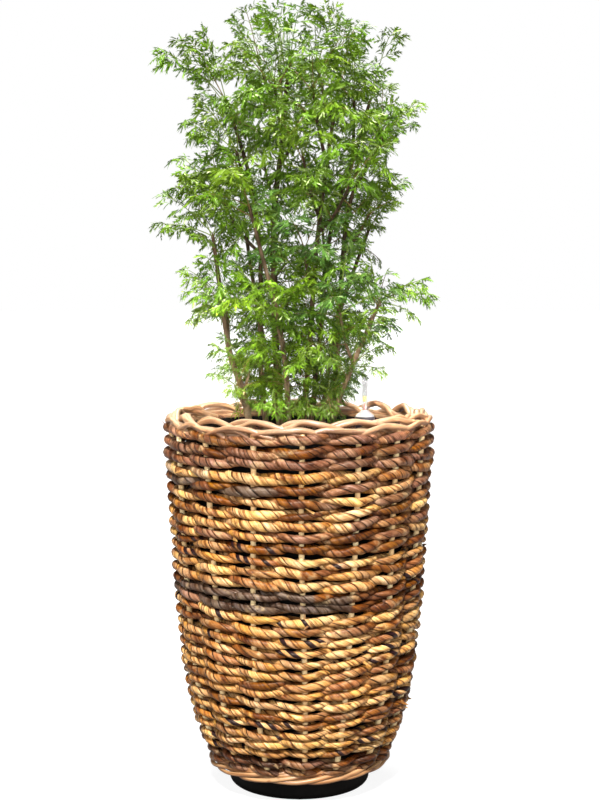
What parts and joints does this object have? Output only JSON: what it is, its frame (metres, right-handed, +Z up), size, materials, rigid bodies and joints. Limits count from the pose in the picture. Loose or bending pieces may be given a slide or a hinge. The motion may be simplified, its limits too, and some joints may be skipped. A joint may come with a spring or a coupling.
{
  "type": "potted ming aralia in a woven basket",
  "caption": "Lacy-leaved ming aralia on upright stems, planted in a black liner pot inside a tall tapered basket twined from bark rope and rattan.",
  "frame": {"origin": "the ground under the middle of the liner pot's round foot", "axes": "+Z up along the basket's axis; -Y towards the viewer of the picture; +X to the viewer's right, where the water gauge stands"},
  "size_m": [0.4452, 0.4494, 1.1712],
  "materials": {
    "black_plastic": "satin",
    "bark_rope": "satin",
    "rattan": "satin",
    "granules": "matte",
    "grey_plastic": "satin",
    "clear_plastic": "gloss",
    "red_plastic": "satin",
    "bark": "matte",
    "leaf": "satin"
  },
  "bodies": {
    "root": {"liner_pot": "black_plastic", "basket_weave": "bark_rope", "basket_rim_border": "rattan", "basket_base_border": "rattan", "substrate": "granules", "water_gauge_base": "grey_plastic", "water_gauge_tube": "clear_plastic", "water_gauge_float": "red_plastic", "leafy_stem_01": "leaf", "leafy_stem_02": "leaf", "leafy_stem_03": "leaf", "leafy_stem_04": "leaf", "leafy_stem_05": "leaf", "leafy_stem_06": "leaf", "leafy_stem_07": "leaf", "leafy_stem_08": "leaf", "leafy_stem_09": "leaf", "leafy_stem_10": "leaf"}
  },
  "joints": []
}
